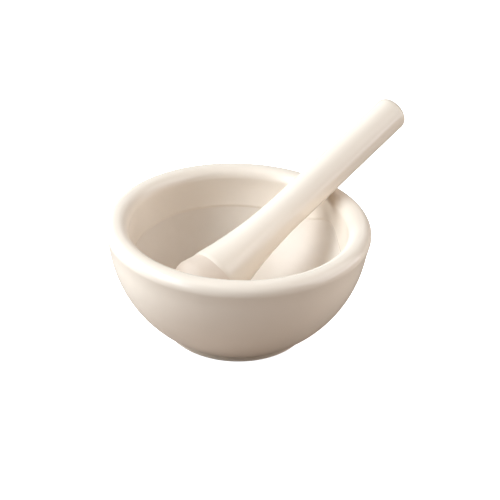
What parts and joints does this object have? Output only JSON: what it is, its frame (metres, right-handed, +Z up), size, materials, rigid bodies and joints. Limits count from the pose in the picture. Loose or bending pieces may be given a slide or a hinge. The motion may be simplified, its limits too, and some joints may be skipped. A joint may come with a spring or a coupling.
{
  "type": "mortar and pestle",
  "caption": "Glazed porcelain mortar, a thick round bowl with a rolled lip and a foot, with a flared-head pestle for grinding lying in it.",
  "frame": {"origin": "on the mortar's axis, in the plane that its foot ring stands on", "axes": "+Z up along the mortar's axis; the pestle's handle points 42.6 degrees from +X towards +Y and rises 24.5 degrees"},
  "size_m": [0.1148, 0.1057, 0.0753],
  "materials": {
    "glaze": "clear glossy glaze over warm white porcelain",
    "bare_porcelain": "unglazed, fine matte, slightly rough to grind on"
  },
  "bodies": {
    "mortar": {"mortar_body": "bare_porcelain", "mortar_glaze": "glaze"},
    "pestle": {"pestle_body": "bare_porcelain", "pestle_glaze": "glaze"}
  },
  "joints": [
    {"name": "pestle_lift", "type": "slide", "parent": "mortar", "child": "pestle", "axis": [0, 0, 1], "range_m": [0, 0.1]}
  ]
}
